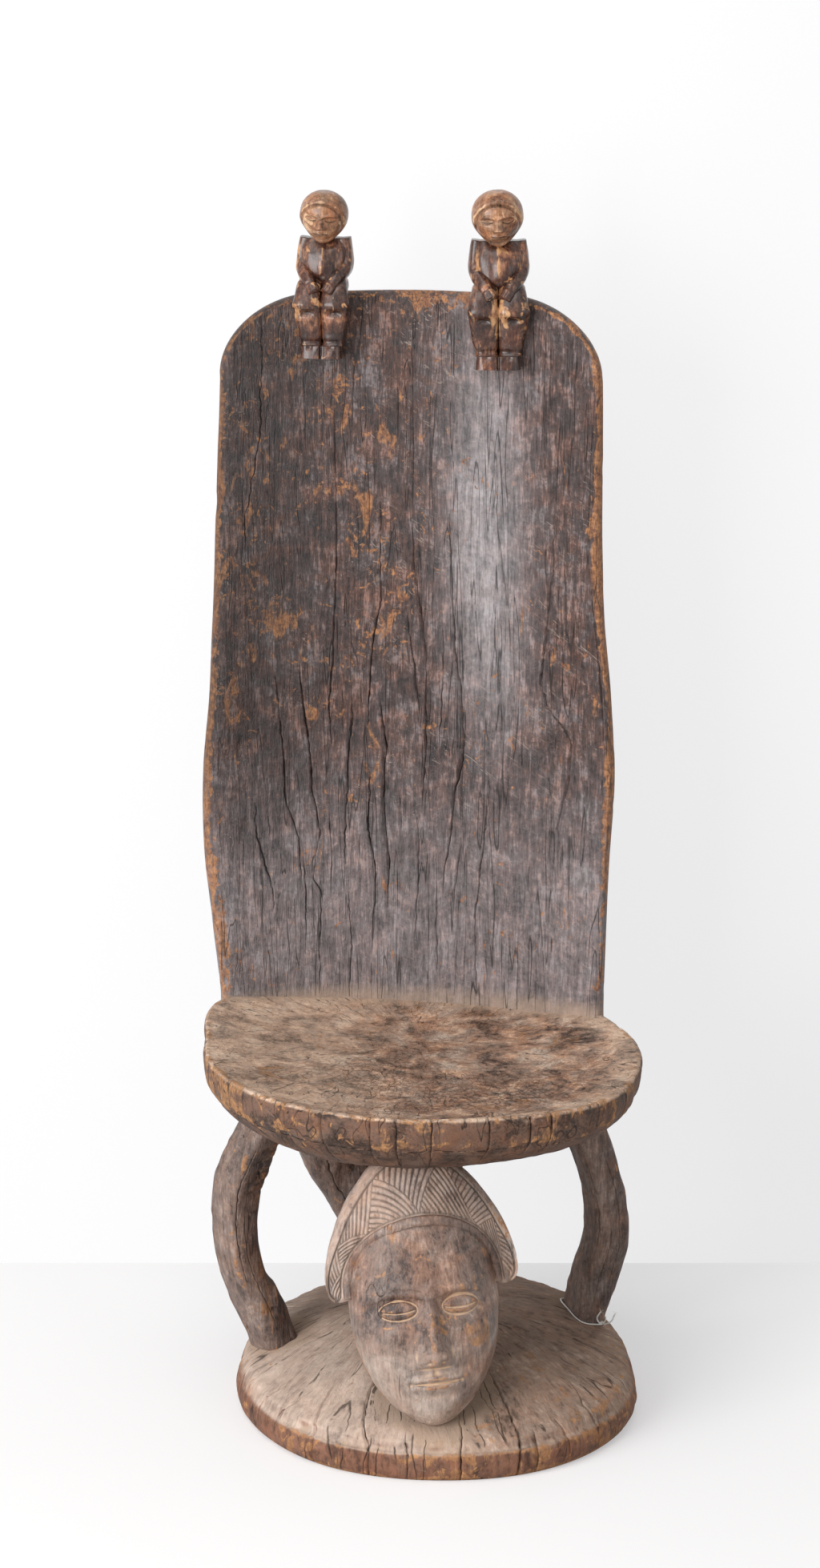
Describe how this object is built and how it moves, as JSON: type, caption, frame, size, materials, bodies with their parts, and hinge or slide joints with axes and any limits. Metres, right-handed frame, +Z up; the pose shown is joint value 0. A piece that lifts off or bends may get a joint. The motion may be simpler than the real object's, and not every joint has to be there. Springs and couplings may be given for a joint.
{
  "type": "ceremonial stool",
  "caption": "High-backed ceremonial stool carved from solid wood: round base, bowed legs and a carved head under a dished seat, with seated figures on the top edge of the tall back.",
  "frame": {"origin": "middle of the base's flat underside, on the floor", "axes": "+X to the right as seen from the front, +Y to the back, +Z up"},
  "size_m": [0.3951, 0.3913, 1.0765],
  "materials": {
    "dark_wood": "old hand-worn patina, dark brown with worn edges",
    "grey_wood": "dry and dusty, grey brown, with fine checks",
    "worn_wood": "polished by handling, dark in the hollows and honey brown on the high places",
    "thread": "white cotton thread"
  },
  "bodies": {
    "root": {"base": "grey_wood", "left_leg": "grey_wood", "right_leg": "grey_wood", "rear_leg": "grey_wood", "head_core": "grey_wood", "head_face": "dark_wood", "head_crest": "grey_wood", "head_band": "dark_wood", "seat": "grey_wood", "backrest": "dark_wood", "left_figure_head": "worn_wood", "left_figure_trunk": "worn_wood", "left_figure_arms": "worn_wood", "left_figure_legs": "worn_wood", "left_figure_feet": "worn_wood", "right_figure_head": "worn_wood", "right_figure_trunk": "worn_wood", "right_figure_arms": "worn_wood", "right_figure_legs": "worn_wood", "right_figure_feet": "worn_wood", "foot_thread": "thread"}
  },
  "joints": []
}
